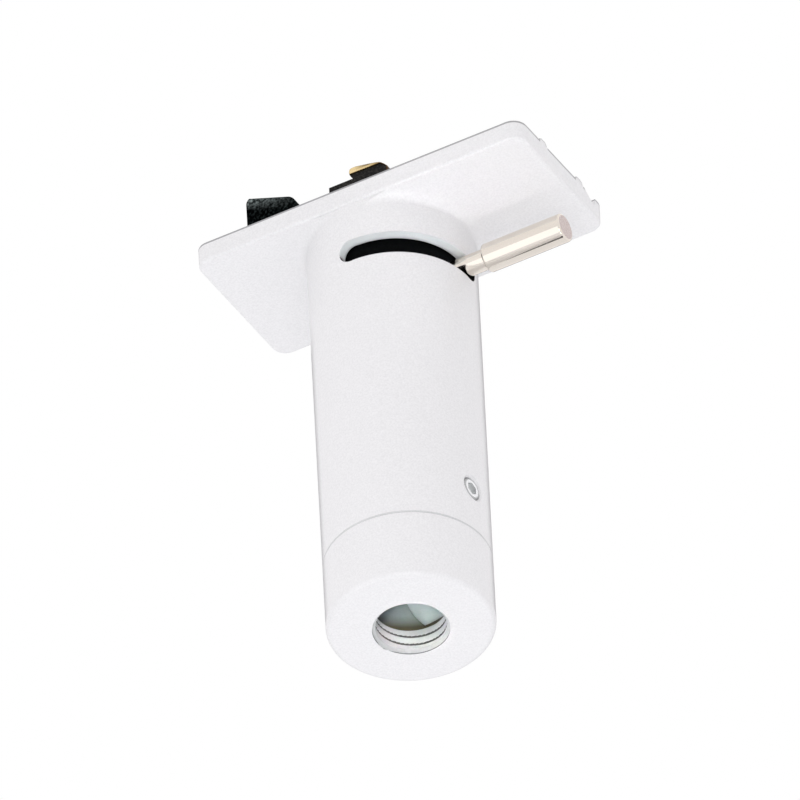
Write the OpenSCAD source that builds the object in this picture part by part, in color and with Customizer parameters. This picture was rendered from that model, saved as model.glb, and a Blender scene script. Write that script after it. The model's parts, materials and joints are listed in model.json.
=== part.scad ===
// Track light adapter: a lever turns a rotor that carries the contacts into the track,
// and a luminaire's stem screws into the threaded end of the tube.
// The origin is on the tube's axis, on the plate's top face. +Z points up into the track,
// +X along the plate towards the lever, and the tube hangs below.

/* [Housing] */
// Outside diameter of the tube
tube_d = 34; // [32:0.5:42]
// Wall of the tube
tube_wall = 2.2; // [2:0.1:3]
// Length of the tube from the plate to the parting line
tube_len = 81.7; // [70:0.1:120]
// Length of the mounting plate
plate_l = 74.8; // [70:0.1:90]
// Overhang of the plate past the tube on each long side
plate_overhang = 0.2; // [0.1:0.1:6]
// Width of the rim round the plate's top pocket
rim_w = 4.3; // [3:0.1:5]
// Thickness of the mounting plate
plate_t = 4.5; // [4:0.1:6]
// Radius of the plate's corners, seen from above
plate_corner_r = 3; // [2:0.1:6]
// Radius of the plate's lower edge
plate_edge_r = 0.5; // [0.3:0.1:1.5]
// Distance from the tube's axis to the middle of the plate
plate_shift = 2; // [0:0.1:5]
// Radius of the fillet between the tube and the plate
neck_fillet_r = 2; // [1:0.1:4]
// Thickness of the tube's roof below the plate
roof_t = 2.5; // [2:0.1:3.5]
// Width over the two guide nubs on the rim at the lever's end, which enter the track's slot
nub_span = 17.2; // [14:0.1:17.4]
// Length of each guide nub
nub_l = 3; // [2:0.1:4]
// Height of the guide nubs
nub_h = 1.1; // [0.6:0.1:1.6]
// Length of the notch beside the guide nubs
notch_l = 4.4; // [3:0.1:5]
// Depth of that notch
notch_depth = 1.8; // [0.8:0.1:2.4]

/* [Lever] */
// Distance from the plate's underside down to the lever's axis
lever_drop = 12; // [11:0.1:16]
// Angle that the lever turns through
lever_throw = 90; // [60:1:95]
// Angle by which the slot runs on past the lever at the locked end
slot_overrun = 4; // [2:0.5:8]
// Diameter of the lever's stud
stud_d = 4.4; // [3.6:0.1:5]
// Clearance between the stud and the slot's edges
slot_gap = 0.45; // [0.35:0.05:0.8]
// Diameter of the lever's handle
handle_d = 6; // [5.4:0.1:8]
// Length of the handle
handle_len = 18; // [12:0.5:40]
// Length of bare stud between the tube and the handle
stud_show = 4.5; // [1:0.1:6]
// Chamfer at the handle's ends
handle_chamfer = 0.4; // [0.2:0.1:0.8]

/* [End cap] */
// Length of the end cap below the parting line
cap_len = 16.2; // [14:0.1:24]
// Radius of the end cap's lower edge
cap_edge_r = 1.2; // [0.5:0.1:2]
// Thread diameter of the hole in the end cap
thread_d = 16; // [10:1:18]
// Pitch of that thread
thread_pitch = 2; // [1:0.25:2]
// Length of the threaded hole, with its mouth
thread_len = 6; // [5:0.5:11]
// Length of the spigot that goes up into the tube
spigot_len = 16.5; // [15.5:0.5:24]
// Wall of the spigot
spigot_wall = 2; // [1.8:0.1:2.8]
// Chamfer on both edges of the parting line
parting_chamfer = 0.25; // [0.1:0.05:0.5]
// Diameter of the grub screw
grub_d = 5; // [4:0.5:6]
// Height of the grub screw above the parting line
grub_rise = 11; // [8:0.5:12]
// Angle of the grub screw round the tube, from +X
grub_angle = -7.5; // [-40:0.5:40]
// Distance across the flats of its hexagon socket
grub_socket = 2.5; // [2:0.1:2.8]
// Depth of the grub screw's end below the tube's surface
grub_sink = 0.3; // [0.1:0.1:0.6]

/* [Track insert] */
// Width of the key that enters the track
key_w = 16.8; // [15:0.1:18]
// Thickness of the insert's base
insert_t = 1.6; // [1.2:0.1:2]
// Distance from the tube's axis to the near side of both lugs
lug_inner = 16.4; // [15.5:0.1:18]
// Length of both lugs along the track
lug_l = 11.2; // [9:0.1:12]
// Height of the tall lug at its outer end
lug_h = 15.2; // [11:0.1:16]
// Height of the tall lug where its sloping top would meet its inner side
lug_low_h = 10.9; // [9:0.1:12]
// Radius of the lugs' corners
lug_corner_r = 1.6; // [0.5:0.1:2]
// Radius of the tall lug's nose
lug_nose_r = 2.8; // [1:0.1:3.4]
// Height of the low lug
low_lug_h = 6; // [5:0.1:8]

/* [Rotor] */
// Diameter of the rotor's shaft
shaft_d = 14; // [13:0.1:15]
// Distance across the flats of the shaft's end
shaft_flats = 10; // [8:0.1:11]
// Height of the shaft's shoulder above the plate
shoulder_h = 1; // [0.6:0.1:2]
// Length of the shaft's end with flats
shaft_end_l = 3.8; // [3:0.1:4]
// Diameter of the wire passage through the rotor
wire_d = 6; // [4:0.1:7]
// Depth of the drum below the lever's axis
drum_below = 8.9; // [7:0.1:12]
// Wall of the drum
drum_wall = 2.6; // [2:0.1:3.4]
// Thickness of the drum's top web
drum_web = 4; // [3:0.1:5]
// Wall of the bush that the shaft turns in
bush_wall = 1.9; // [1.5:0.1:2.5]
// Thickness of the bush's flange
bush_flange_t = 1.2; // [1:0.1:1.6]
// Width of the bush's flange
bush_flange_w = 2; // [1:0.1:3]

/* [Contact head] */
// Height of the head's bar above the plate, at its underside
head_h = 4.8; // [4.2:0.1:5.2]
// Width of the bar along the track
head_w = 14.2; // [12.5:0.1:15]
// Reach of the bar from the axis
head_reach = 11.5; // [11:0.1:12.5]
// Thickness of the bar
head_t = 1.8; // [1.6:0.1:2.2]
// Width of the contacts along the bar
contact_w = 4; // [3.2:0.1:4.2]
// Thickness of the contacts' legs
contact_t = 1; // [0.8:0.1:1.2]
// Distance from the middle of the bar to a contact's free end
contact_free = 2.5; // [1:0.1:4]
// Height of the contacts' crown above the bar
contact_rise = 2.9; // [2.6:0.1:3.4]
// Height of the block under the contacts
contact_block_h = 1.4; // [1.2:0.1:1.6]

/* [Inside the tube] */
// Thickness of the disc under the rotor
disc_t = 2.5; // [2:0.1:3]
// Thickness of the retaining ring
ring_t = 1.2; // [1:0.1:1.5]
// Width of the retaining ring
ring_w = 2; // [1.5:0.1:2.5]
// Depth of the ring's groove in the tube
groove_depth = 0.9; // [0.6:0.1:1.2]
// Free height of the wave washer
wave_h = 1.2; // [0.9:0.1:2]
// Thickness of the wave washer's strip
wave_strip = 0.4; // [0.3:0.05:0.6]
// Distance between the two poles of the terminal block
pole_pitch = 7; // [6.5:0.1:8]
// Length of the terminal block along its poles
block_l = 14; // [13:0.5:16]
// Height of the terminal block
block_h = 11; // [10:0.5:14]

/* [Fits] */
// Radial clearance of the shaft in its bush
running_fit = 0.08; // [0.05:0.01:0.1]
// Clearance between pieces that are fixed to each other
seat_fit = 0.05; // [0.03:0.01:0.1]
// Clearance between pieces that move past each other
move_gap = 0.4; // [0.3:0.05:0.5]

/* [Hidden] */
$fn = 96;

// Overlap of cutting shapes past the face that they cut
over = 0.5;

// Heights, from the plate's top face at zero downwards
tube_r = tube_d / 2;
plate_w = tube_d + 2 * plate_overhang;
bore_r = tube_r - tube_wall;
under_z = -plate_t;
roof_z = under_z - roof_t;
parting_z = under_z - tube_len;
bottom_z = parting_z - cap_len;
lever_z = under_z - lever_drop;
drum_top_z = roof_z - bush_flange_t - move_gap / 2;
drum_bottom_z = lever_z - drum_below;
washer_top_z = drum_bottom_z - move_gap / 4;
disc_top_z = washer_top_z - wave_h - seat_fit;
disc_bottom_z = disc_top_z - disc_t;
ring_top_z = disc_bottom_z - seat_fit;
ring_bottom_z = ring_top_z - ring_t;
grub_z = parting_z + grub_rise;

// Lever and slot, seen from above
drum_r = bore_r - move_gap;
shaft_r = shaft_d / 2;
wire_r = wire_d / 2;
stud_r = stud_d / 2;
stud_angle = asin(stud_r / tube_r);
slot_h = stud_d + 2 * slot_gap;
slot_end_angle = asin(slot_h / 2 / tube_r);
slot_clear_angle = asin(move_gap / bore_r);
slot_from = -lever_throw - stud_angle - slot_clear_angle + slot_end_angle;
slot_to = stud_angle + slot_overrun - slot_end_angle;
handle_from = tube_r + stud_show;
stud_seat = 5;
stud_from = shaft_r - 1;
boss_wall = 1.6;
hub_wall = 1.2;

// Bush
bush_r = shaft_r + running_fit + bush_wall;
plate_bore_r = bush_r + seat_fit;
bush_flange_r = plate_bore_r + bush_flange_w;

// Guide nubs and notch on the rim
plate_end_x = plate_shift + plate_l / 2;
nub_root = 1;
nub_t = 1.5;
nub_set_back = 0.15;
notch_gap = 0.2;
notch_in = 2.2;

// Track insert and its screws
insert_l = plate_l - 2 * rim_w;
insert_w = plate_w - 2 * rim_w;
insert_hole_gap = 0.3;
insert_hole_r = plate_bore_r + insert_hole_gap;
insert_corner_r = 2.5;
insert_screw_r = 1.5;
insert_screw_head_r = 2.7;
insert_screw_l = 4.6;
insert_screw_x = (insert_hole_r + lug_inner) / 2;

// End cap
spigot_r = bore_r - seat_fit;
spigot_bore_r = spigot_r - spigot_wall;
thread_bore_r = (thread_d - thread_pitch) / 2;
mouth_gap = 0.1;
mouth_r = thread_d / 2 + mouth_gap;

// Grub screw
grub_r = grub_d / 2;
grub_dimple = 0.6;
grub_tip_r = spigot_r - grub_dimple + seat_fit;
grub_countersink = 0.5;

// Contact head
shaft_end_z = shoulder_h + shaft_end_l;
hub_r = shaft_r + hub_wall;
head_top_z = head_h + head_t;
head_half = head_w / 2;
contact_y = -head_reach + contact_w / 2;
contact_block_inset = 0.25;
contact_knee = 1.5;
rivet_r = 0.8;
rivet_head_r = 1.3;
rivet_head_t = 0.5;
rivet_x = 1.6;
rivet_bite = 0.7;
rivet_top_z = head_top_z + contact_block_h + rivet_bite;
head_screw_r = 1;
head_screw_head_r = 1.8;
head_screw_head_t = 0.8;
head_screw_x = 4.4;
head_screw_l = 5;

// Terminal block under the disc
block_w = 2 * pole_pitch;
block_screw_r = 1.25;
sleeve_gap = 0.35;
sleeve_wall = 0.65;
sleeve_end = 1.5;
clamp_proud = 1.6;
clamp_gap = 0.1;
sleeve_r = pole_pitch / 2 - block_screw_r - sleeve_gap;
sleeve_wire_r = sleeve_r - sleeve_wall;
sleeve_l = block_l - 2 * sleeve_end;
sleeve_z = disc_bottom_z - block_h / 2;
clamp_r = sleeve_wire_r - clamp_gap;
clamp_y = sleeve_l / 4;
clamp_end_z = sleeve_z - sleeve_r - clamp_proud;
block_screw_head_r = 2;
block_screw_head_t = 1.4;

// Earth tag beside the block
tag_r = 1.9;
tag_w = 2.8;
tag_t = 0.8;
tag_reach = 2.6;
tag_drop = 8;
tag_gap = 0.3;
tag_x = block_w / 2 + tag_r + tag_gap;

// Earth leaf on the low lug
leaf_t = 0.5;
leaf_w = 5;
leaf_rise = 2.6;
leaf_flat = 3.2;
leaf_rivet_r = 0.7;
leaf_rivet_head_r = 0.95;
leaf_rivet_x = lug_l / 2 - leaf_t - leaf_flat / 2;
lug_mid = lug_inner + lug_l / 2;

painted = "#ececea";
black_plastic = "#1c1c1e";
steel = "#b9bcc0";
polished = "#cfc4b4";
brass = "#c8a24c";
bronze = "#a9824a";
cream = "#d9d4c4";

// Rectangle with rounded corners, centred
module rounded_rect(l, w, r) {
    square([l - 2 * r, w], center = true);
    square([l, w - 2 * r], center = true);
    for (sx = [-1, 1], sy = [-1, 1])
        translate([sx * (l / 2 - r), sy * (w / 2 - r)]) circle(r);
}

// Half of a section with a rounded lower outer edge, from the axis outwards, top at zero
module edge_section(reach, depth, r) {
    difference() {
        translate([0, -depth]) square([reach, depth]);
        translate([reach - r, -depth]) difference() {
            translate([0, -over]) square([r + over, r + over]);
            translate([0, r]) circle(r);
        }
    }
}

// Section with both lower edges rounded
module bar_section(width, depth, r) {
    edge_section(width / 2, depth, r);
    mirror([1, 0]) edge_section(width / 2, depth, r);
}

// Plate with rounded corners and a rounded lower edge, top at zero
module plate_slab() {
    r = min(plate_edge_r, plate_corner_r / 2);
    straight_l = plate_l - 2 * plate_corner_r;
    straight_w = plate_w - 2 * plate_corner_r;
    translate([plate_shift, 0, 0]) {
        rotate([90, 0, 90]) linear_extrude(straight_l, center = true) bar_section(plate_w, plate_t, r);
        rotate([90, 0, 0]) linear_extrude(straight_w, center = true) bar_section(plate_l, plate_t, r);
        for (sx = [-1, 1], sy = [-1, 1])
            translate([sx * straight_l / 2, sy * straight_w / 2, 0])
                rotate_extrude() edge_section(plate_corner_r, plate_t, r);
    }
}

// Concave ring between the tube and the plate, kept inside the plate's flat underside
module neck_fillet() {
    intersection() {
        rotate_extrude()
            translate([tube_r - over, under_z - neck_fillet_r]) difference() {
                square([neck_fillet_r + over, neck_fillet_r + over]);
                translate([neck_fillet_r + over, 0]) circle(neck_fillet_r);
            }
        translate([plate_shift, 0, under_z - neck_fillet_r - over])
            linear_extrude(neck_fillet_r + 2 * over)
                square([plate_l - 2 * plate_edge_r, plate_w - 2 * plate_edge_r], center = true);
    }
}

// Arc slot in the tube wall, with round ends a little higher than the slot itself
module lever_slot() {
    rotate([0, 0, slot_from])
        rotate_extrude(angle = slot_to - slot_from)
            translate([bore_r - over, lever_z - slot_h / 2]) square([tube_wall + 2 * over, slot_h]);
    for (a = [slot_from, slot_to])
        rotate([0, 0, a]) translate([bore_r - over, 0, lever_z])
            rotate([0, 90, 0]) cylinder(r = slot_h / 2 + seat_fit, h = tube_wall + 2 * over);
}

// Round hole through the tube wall for the grub screw, with a countersunk mouth
module grub_hole() {
    rotate([0, 0, grub_angle]) translate([0, 0, grub_z]) rotate([0, 90, 0]) {
        translate([0, 0, bore_r - over]) cylinder(r = grub_r + seat_fit, h = tube_wall + 2 * over);
        translate([0, 0, tube_r - grub_countersink])
            cylinder(r1 = grub_r + seat_fit, r2 = grub_r + 2 * grub_countersink, h = 2 * grub_countersink);
    }
}

// Guide nub from the side, round at both ends, with its root in the plate
module nub_outline() {
    r = min(nub_h, nub_l / 3);
    translate([-nub_l / 2, -nub_root]) square([nub_l, nub_root + nub_h - r]);
    translate([r - nub_l / 2, 0]) square([nub_l - 2 * r, nub_h]);
    for (s = [-1, 1]) translate([s * (nub_l / 2 - r), nub_h - r]) circle(r);
}

// Two guide nubs on the rim at the lever's end of the plate
module guide_nubs() {
    for (s = [-1, 1])
        translate([plate_end_x - nub_set_back, s * (nub_span - nub_l) / 2, 0])
            rotate([90, 0, -90]) linear_extrude(nub_t) nub_outline();
}

// Sloping notch in the top of the same rim
module rim_notch() {
    translate([plate_end_x - notch_in, nub_span / 2 + notch_gap, 0])
        rotate([90, 0, 90]) linear_extrude(notch_in + over) polygon([
            [0, over], [0, 0], [0.6 * notch_l, -0.85 * notch_depth], [0.9 * notch_l, -notch_depth],
            [notch_l, 0], [notch_l, over]
        ]);
}

module housing() {
    color(painted) difference() {
        union() {
            plate_slab();
            translate([0, 0, parting_z]) rotate_extrude()
                difference() {
                    square([tube_r, tube_len + plate_t / 2]);
                    translate([tube_r, 0]) rotate(45) square(parting_chamfer * sqrt(2), center = true);
                }
            neck_fillet();
            guide_nubs();
        }
        translate([0, 0, parting_z - over]) cylinder(r = bore_r, h = roof_z - parting_z + over);
        translate([0, 0, roof_z - over]) cylinder(r = plate_bore_r, h = plate_t + roof_t + 2 * over);
        translate([0, 0, ring_bottom_z - seat_fit])
            cylinder(r = bore_r + groove_depth, h = ring_t + 2 * seat_fit);
        translate([plate_shift, 0, -insert_t]) linear_extrude(insert_t + over)
            rounded_rect(insert_l + 2 * seat_fit, insert_w + 2 * seat_fit, insert_corner_r);
        for (s = [-1, 1])
            translate([s * insert_screw_x, 0, -insert_screw_l - over])
                cylinder(r = insert_screw_r + seat_fit, h = insert_screw_l + over);
        lever_slot();
        grub_hole();
        rim_notch();
    }
}

module end_cap() {
    color(painted) difference() {
        union() {
            translate([0, 0, parting_z]) rotate_extrude() difference() {
                edge_section(tube_r, cap_len, cap_edge_r);
                translate([tube_r, 0]) rotate(45) square(parting_chamfer * sqrt(2), center = true);
            }
            translate([0, 0, parting_z]) cylinder(r = spigot_r, h = spigot_len);
        }
        translate([0, 0, bottom_z + thread_len])
            cylinder(r = spigot_bore_r, h = cap_len - thread_len + spigot_len + over);
        translate([0, 0, bottom_z - over]) cylinder(r = thread_bore_r, h = thread_len + 2 * over);
        translate([0, 0, bottom_z])
            cylinder(r1 = mouth_r, r2 = thread_bore_r, h = mouth_r - thread_bore_r);
        rotate([0, 0, grub_angle]) translate([spigot_r - grub_dimple, 0, grub_z])
            rotate([0, 90, 0]) cylinder(r = grub_r + 2 * seat_fit, h = grub_dimple + over);
    }
}

module cap_grub_screw() {
    length = tube_r - grub_sink - grub_tip_r;
    bevel = 0.4;
    color(steel) rotate([0, 0, grub_angle]) translate([grub_tip_r, 0, grub_z]) rotate([0, 90, 0])
        difference() {
            rotate_extrude() polygon([
                [0, 0], [grub_r - bevel, 0], [grub_r, bevel],
                [grub_r, length - bevel], [grub_r - bevel, length], [0, length]
            ]);
            translate([0, 0, length / 2])
                cylinder(d = grub_socket / cos(30), h = length, $fn = 6);
        }
}

// Side outline of the tall lug: sloping top, rounded outer corner and round nose
module tall_lug_outline() {
    outer = lug_inner + lug_l;
    slope = (lug_h - lug_low_h) / lug_l;
    tilt = atan(slope);
    nose = [-lug_inner - lug_nose_r,
        lug_h - slope * (lug_l - lug_nose_r) - lug_nose_r / cos(tilt)];
    difference() {
        union() {
            polygon([
                [-outer, 0], [-outer, lug_h],
                nose + lug_nose_r * [sin(tilt), cos(tilt)], nose, nose + [lug_nose_r, 0],
                [-lug_inner, 0]
            ]);
            translate(nose) circle(lug_nose_r);
        }
        translate([-outer, lug_h]) difference() {
            translate([-over, -lug_corner_r]) square([lug_corner_r + over, lug_corner_r + over]);
            translate([lug_corner_r, -lug_corner_r]) circle(lug_corner_r);
        }
    }
}

module track_insert() {
    color(black_plastic) difference() {
        union() {
            translate([plate_shift, 0, -insert_t]) linear_extrude(insert_t)
                rounded_rect(insert_l, insert_w, insert_corner_r - seat_fit);
            rotate([90, 0, 0]) linear_extrude(key_w, center = true) tall_lug_outline();
            translate([lug_mid, 0, 0]) linear_extrude(low_lug_h)
                rounded_rect(lug_l, key_w, lug_corner_r);
        }
        translate([0, 0, -insert_t - over]) cylinder(r = insert_hole_r, h = insert_t + 2 * over);
        for (s = [-1, 1]) translate([s * insert_screw_x, 0, 0]) {
            translate([0, 0, -insert_t - over])
                cylinder(r = insert_screw_r + seat_fit, h = insert_t + 2 * over);
            translate([0, 0, insert_screw_r - insert_screw_head_r])
                cylinder(r1 = insert_screw_r + seat_fit, r2 = insert_screw_head_r + seat_fit,
                    h = insert_screw_head_r - insert_screw_r);
        }
        for (s = [-1, 1])
            translate([lug_mid + s * leaf_rivet_x, 0, low_lug_h / 2])
                cylinder(r = leaf_rivet_r + seat_fit, h = low_lug_h);
    }
}

module insert_screws() {
    head_t = insert_screw_head_r - insert_screw_r;
    slot_w = 0.7;
    color(steel) for (s = [-1, 1]) translate([s * insert_screw_x, 0, 0]) difference() {
        union() {
            translate([0, 0, -insert_screw_l]) cylinder(r = insert_screw_r, h = insert_screw_l);
            translate([0, 0, -head_t])
                cylinder(r1 = insert_screw_r, r2 = insert_screw_head_r, h = head_t);
        }
        for (a = [0, 90]) rotate([0, 0, a])
            cube([2 * insert_screw_r, slot_w, head_t], center = true);
    }
}

module rotor_bush() {
    color(bronze) difference() {
        union() {
            translate([0, 0, roof_z]) cylinder(r = bush_r, h = -roof_z);
            translate([0, 0, roof_z - bush_flange_t]) cylinder(r = bush_flange_r, h = bush_flange_t);
        }
        translate([0, 0, roof_z - bush_flange_t - over])
            cylinder(r = shaft_r + running_fit, h = bush_flange_t - roof_z + 2 * over);
    }
}

// Points of one edge of the washer's strip: radius r, raised by lift
function wave_ring(r, lift, count) = [
    for (i = [0 : count - 1])
        let (a = 360 * i / count)
        [r * cos(a), r * sin(a), lift + (wave_h - wave_strip) / 2 * cos(3 * a)]
];

module wave_washer() {
    count = 72;
    inner = shaft_r + 1;
    outer = drum_r - 1;
    points = concat(
        wave_ring(inner, 0, count), wave_ring(outer, 0, count),
        wave_ring(outer, wave_strip, count), wave_ring(inner, wave_strip, count)
    );
    faces = [
        for (k = [0 : 3], i = [0 : count - 1])
            let (j = (i + 1) % count, next = (k + 1) % 4)
            [k * count + i, next * count + i, next * count + j, k * count + j]
    ];
    middle_z = washer_top_z - wave_h / 2 - wave_strip / 2;
    color(steel) translate([0, 0, middle_z]) polyhedron(points, faces, convexity = 6);
}

module bearing_plate() {
    color(steel) translate([0, 0, disc_bottom_z]) difference() {
        cylinder(r = bore_r - seat_fit, h = disc_t);
        translate([0, block_l / 2 + wire_r - 1.4, -over]) cylinder(r = wire_r - 0.8, h = disc_t + 2 * over);
        translate([0, 0, -over]) cylinder(r = block_screw_r + seat_fit, h = disc_t + 2 * over);
        translate([tag_x, 0, -over]) cylinder(r = block_screw_r + seat_fit, h = disc_t + 2 * over);
    }
}

// Internal ring with a gap and two ears with holes for the pliers
module retaining_ring() {
    outer = bore_r + groove_depth - seat_fit;
    ear_r = ring_w * 0.8;
    gap = 24;
    color(steel) translate([0, 0, ring_bottom_z]) difference() {
        union() {
            rotate([0, 0, -90 + gap / 2]) rotate_extrude(angle = 360 - gap)
                translate([outer - ring_w, 0]) square([ring_w, ring_t]);
            for (s = [-1, 1]) rotate([0, 0, -90 + s * (gap / 2 + 5)])
                translate([outer - ring_w, 0, 0]) cylinder(r = ear_r, h = ring_t);
        }
        for (s = [-1, 1]) rotate([0, 0, -90 + s * (gap / 2 + 5)])
            translate([outer - ring_w, 0, -over]) cylinder(r = ear_r / 2, h = ring_t + 2 * over);
    }
}

// Runs its children once for each pole
module at_poles() {
    for (s = [-1, 1]) translate([s * pole_pitch / 2, 0, 0]) children();
}

module terminal_block() {
    waist = 1.2;
    color(cream) difference() {
        translate([0, 0, disc_bottom_z - block_h]) linear_extrude(block_h) difference() {
            rounded_rect(block_w, block_l, 1);
            for (s = [-1, 1]) translate([0, s * block_l / 2]) circle(waist);
        }
        at_poles() translate([0, 0, sleeve_z]) rotate([90, 0, 0])
            cylinder(r = sleeve_r + seat_fit, h = block_l + 2 * over, center = true);
        at_poles() for (s = [-1, 1])
            translate([0, s * clamp_y, disc_bottom_z - block_h - over])
                cylinder(r = clamp_r + 0.5, h = block_h / 2 + over);
        translate([0, 0, disc_bottom_z - block_h - over])
            cylinder(r = block_screw_r + seat_fit, h = block_h + 2 * over);
        translate([0, 0, disc_bottom_z - block_h - over])
            cylinder(r = block_screw_head_r + 2 * seat_fit, h = block_screw_head_t + 2 * over);
    }
}

module terminal_sleeves() {
    color(brass) at_poles() translate([0, 0, sleeve_z]) difference() {
        rotate([90, 0, 0]) cylinder(r = sleeve_r, h = sleeve_l, center = true);
        rotate([90, 0, 0]) cylinder(r = sleeve_wire_r, h = sleeve_l + 2 * over, center = true);
        for (s = [-1, 1]) translate([0, s * clamp_y, -2 * sleeve_r])
            cylinder(r = clamp_r + seat_fit, h = 2 * sleeve_r);
    }
}

module terminal_screws() {
    slot_w = 0.6;
    color(steel) at_poles() for (s = [-1, 1])
        translate([0, s * clamp_y, clamp_end_z]) difference() {
            cylinder(r = clamp_r, h = sleeve_z - clamp_end_z);
            cube([2 * clamp_r + 2 * over, slot_w, 2 * slot_w], center = true);
        }
}

// Cheese-head screw along +Z with a slotted head, the head's underside at zero
module cheese_screw(r, l, head_r, head_t) {
    slot_w = 0.7;
    cylinder(r = r, h = l);
    translate([0, 0, -head_t]) difference() {
        cylinder(r = head_r, h = head_t);
        cube([2 * head_r + 2 * over, slot_w, head_t], center = true);
    }
}

module block_screw() {
    head_z = disc_bottom_z - block_h + over + block_screw_head_t;
    color(steel) translate([0, 0, head_z])
        cheese_screw(block_screw_r, disc_top_z - head_z, block_screw_head_r, block_screw_head_t);
}

module earth_tag() {
    color(brass) translate([tag_x, 0, disc_bottom_z - tag_t]) difference() {
        union() {
            linear_extrude(tag_t) union() {
                circle(tag_r);
                translate([-tag_w / 2, 0]) square([tag_w, tag_reach]);
            }
            translate([-tag_w / 2, tag_reach, tag_t - tag_drop]) cube([tag_w, tag_t, tag_drop]);
        }
        translate([0, 0, -over]) cylinder(r = block_screw_r + seat_fit, h = tag_t + 2 * over);
    }
}

module earth_screw() {
    head_r = tag_r - 0.1;
    color(steel) translate([tag_x, 0, disc_bottom_z - tag_t])
        cheese_screw(block_screw_r, disc_t + tag_t, head_r, block_screw_head_t);
}

// Folded spring leaf from the side: two flat feet, two ramps and a crown
module leaf_outline() {
    half = lug_l / 2 - leaf_t;
    foot_end = half - leaf_flat;
    crown = foot_end / 2;
    fold = leaf_t * tan(atan2(leaf_rise, foot_end - crown) / 2);
    polygon([
        [-half, 0], [-foot_end, 0], [-crown, leaf_rise], [crown, leaf_rise], [foot_end, 0], [half, 0],
        [half, leaf_t], [foot_end + fold, leaf_t], [crown + fold, leaf_rise + leaf_t],
        [-crown - fold, leaf_rise + leaf_t], [-foot_end - fold, leaf_t], [-half, leaf_t]
    ]);
}

module earth_contact() {
    color(brass) translate([lug_mid, 0, low_lug_h]) difference() {
        rotate([90, 0, 0]) linear_extrude(leaf_w, center = true) leaf_outline();
        for (s = [-1, 1]) translate([s * leaf_rivet_x, 0, -over])
            cylinder(r = leaf_rivet_r + seat_fit, h = leaf_t + 2 * over);
    }
}

module earth_rivets() {
    shank = low_lug_h / 2;
    color(brass) for (s = [-1, 1])
        translate([lug_mid + s * leaf_rivet_x, 0, low_lug_h - shank]) {
            cylinder(r = leaf_rivet_r, h = shank + leaf_t);
            translate([0, 0, shank + leaf_t]) cylinder(r = leaf_rivet_head_r, h = leaf_t / 2);
        }
}

// Shaft end with two flats, wider by extra on every side
module flatted_end(extra) {
    intersection() {
        cylinder(r = shaft_r + extra, h = shaft_end_l + extra);
        translate([0, 0, shaft_end_l / 2])
            cube([2 * tube_r, shaft_flats + 2 * extra, 2 * shaft_end_l], center = true);
    }
}

// Half section of the rotor: a drum that is open below, its hub and its shaft
module rotor_section() {
    pocket_top = drum_top_z - drum_web;
    polygon([
        [wire_r, drum_bottom_z], [hub_r, drum_bottom_z], [hub_r, pocket_top],
        [drum_r - drum_wall, pocket_top], [drum_r - drum_wall, drum_bottom_z],
        [drum_r, drum_bottom_z], [drum_r, drum_top_z], [shaft_r, drum_top_z],
        [shaft_r, shaft_end_z], [wire_r, shaft_end_z]
    ]);
}

module rotor() {
    flat_cut = shaft_r - shaft_flats / 2 + over;
    color(black_plastic) difference() {
        union() {
            rotate_extrude() rotor_section();
            translate([shaft_r, 0, lever_z]) rotate([0, 90, 0])
                cylinder(r = stud_r + boss_wall, h = drum_r - shaft_r - drum_wall / 2);
        }
        translate([stud_from, 0, lever_z]) rotate([0, 90, 0])
            cylinder(r = stud_r + seat_fit, h = drum_r);
        for (s = [-1, 1]) {
            translate([0, s * (shaft_flats / 2 + flat_cut / 2), shoulder_h + shaft_end_l])
                cube([2 * tube_r, flat_cut, 2 * shaft_end_l], center = true);
            translate([s * head_screw_x, 0, head_top_z - head_screw_head_t - head_screw_l])
                cylinder(r = head_screw_r + seat_fit, h = head_screw_l);
        }
    }
}

module lever_stud() {
    color(polished) translate([stud_from, 0, lever_z]) rotate([0, 90, 0])
        cylinder(r = stud_r, h = handle_from + stud_seat - stud_from);
}

module lever_handle() {
    r = handle_d / 2;
    c = handle_chamfer;
    color(polished) translate([handle_from, 0, lever_z]) rotate([0, 90, 0]) difference() {
        rotate_extrude() polygon([
            [0, 0], [r - c, 0], [r, c], [r, handle_len - c], [r - c, handle_len], [0, handle_len]
        ]);
        translate([0, 0, -over]) cylinder(r = stud_r + seat_fit, h = stud_seat + seat_fit + over);
    }
}

// Runs its children on both ends of the bar
module at_bar_ends() {
    for (a = [0, 180]) rotate([0, 0, a]) children();
}

// Prism along Y at the -Y end of the bar, from an outline in X and Z
module across_bar(width) {
    translate([0, contact_y, 0]) rotate([90, 0, 0])
        linear_extrude(width, center = true) children();
}

// Side outline of the block under a contact, from its foot on the bar
module contact_block_outline() {
    free = -contact_free;
    leg = head_half - contact_t - seat_fit;
    polygon([
        [free + contact_t, head_top_z - over], [free + contact_t, head_top_z],
        [free + seat_fit, head_top_z + contact_block_h - seat_fit],
        [leg - contact_knee, head_top_z + contact_block_h - seat_fit],
        [leg, head_top_z], [leg, head_top_z - over]
    ]);
}

// Side outline of a contact: crown, sloping back, knee and the leg down the bar's side
module contact_outline() {
    free = -contact_free;
    leg = head_half - contact_t;
    block_top = head_top_z + contact_block_h;
    crown = head_top_z + contact_rise;
    polygon([
        [free, block_top], [free - contact_t / 8, crown - contact_t / 2],
        [free + contact_t / 3, crown - contact_t / 8], [free + contact_knee, crown],
        [head_half - 2 * contact_knee, block_top + 0.7 * contact_t],
        [head_half - contact_knee, block_top - contact_t / 5],
        [head_half, head_top_z - head_t / 2], [head_half, head_h],
        [leg, head_h], [leg, head_top_z],
        [leg - contact_knee, block_top]
    ]);
}

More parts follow.
